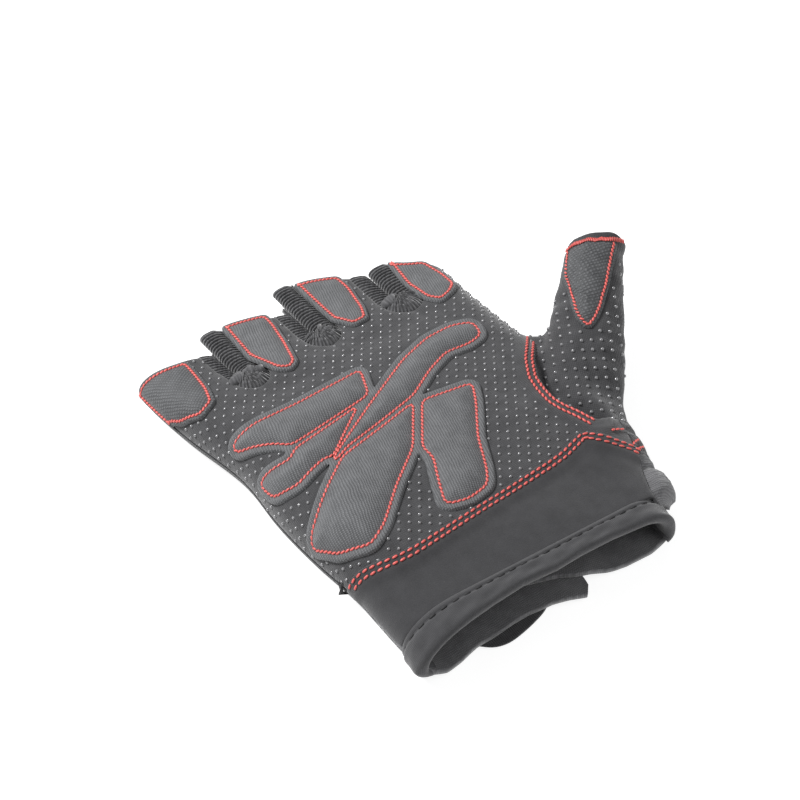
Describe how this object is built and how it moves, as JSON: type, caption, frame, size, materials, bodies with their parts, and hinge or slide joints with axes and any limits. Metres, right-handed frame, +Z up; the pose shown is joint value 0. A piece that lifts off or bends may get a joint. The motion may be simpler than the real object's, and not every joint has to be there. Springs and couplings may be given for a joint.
{
  "type": "weightlifting glove",
  "caption": "Right-hand fingerless weightlifting glove lying palm up, with a padded palm overlay, fingertip patches, knit gussets and a wrap-round wrist.",
  "frame": {"origin": "the point on the surface it lies on under the middle of the palm's length, straight below the middle of the wrist opening's width", "axes": "+X across the palm towards the thumb, +Y towards the fingers, +Z up out of the palm"},
  "size_m": [0.135, 0.1376, 0.0344],
  "materials": {
    "palm_cloth": "matte suede-like cloth",
    "band_cloth": "matte suede-like cloth",
    "knit": "matte knit",
    "ribbed_sheet": "fine ribbed, slight sheen",
    "silicone_dot": "glossy",
    "red_thread": "matte thread"
  },
  "bodies": {
    "root": {"palm_panel": "palm_cloth", "thumb_sleeve": "palm_cloth", "back_panel": "knit", "gusset_little_ring": "knit", "gusset_ring_middle": "knit", "gusset_middle_index": "knit", "palm_overlay": "ribbed_sheet", "tip_patch_little": "ribbed_sheet", "tip_patch_ring": "ribbed_sheet", "tip_patch_middle": "ribbed_sheet", "tip_patch_index": "ribbed_sheet", "tip_patch_thumb": "ribbed_sheet", "wrist_band": "band_cloth", "wrist_binding": "knit", "closure_flap_little": "knit", "closure_flap_thumb": "knit", "closure_strap": "knit"}
  },
  "joints": []
}
